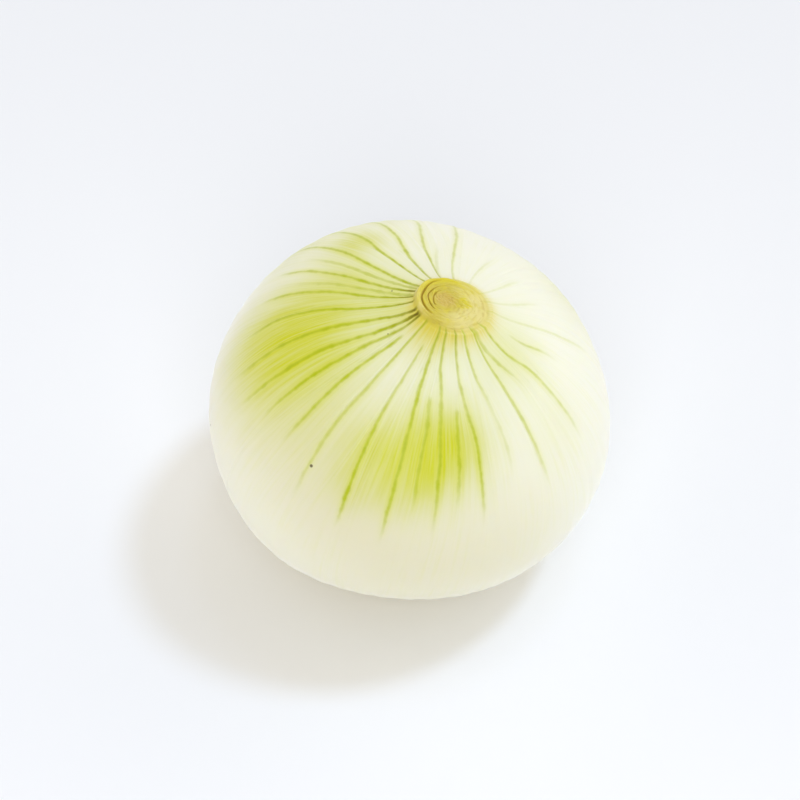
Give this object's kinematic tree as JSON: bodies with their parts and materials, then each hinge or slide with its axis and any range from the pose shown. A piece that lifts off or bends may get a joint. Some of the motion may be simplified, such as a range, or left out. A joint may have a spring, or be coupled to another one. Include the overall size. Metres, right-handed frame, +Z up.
{
  "type": "onion",
  "caption": "Whole fresh white onion, peeled to a pale fleshy scale with green veins, with a low cut neck on top and a flat trimmed root plate that it stands on.",
  "frame": {"origin": "middle of the flat cut face of the root plate, on the surface that the onion stands on", "axes": "+Z up from the root plate through the bulb towards the neck, -Y towards the side where the green veins and blush are strongest, and the neck leans towards +X and a little towards -Y"},
  "size_m": [0.0878, 0.0884, 0.0765],
  "materials": {
    "flesh": "satin"
  },
  "bodies": {
    "root": {"bulb": "flesh"}
  },
  "joints": []
}
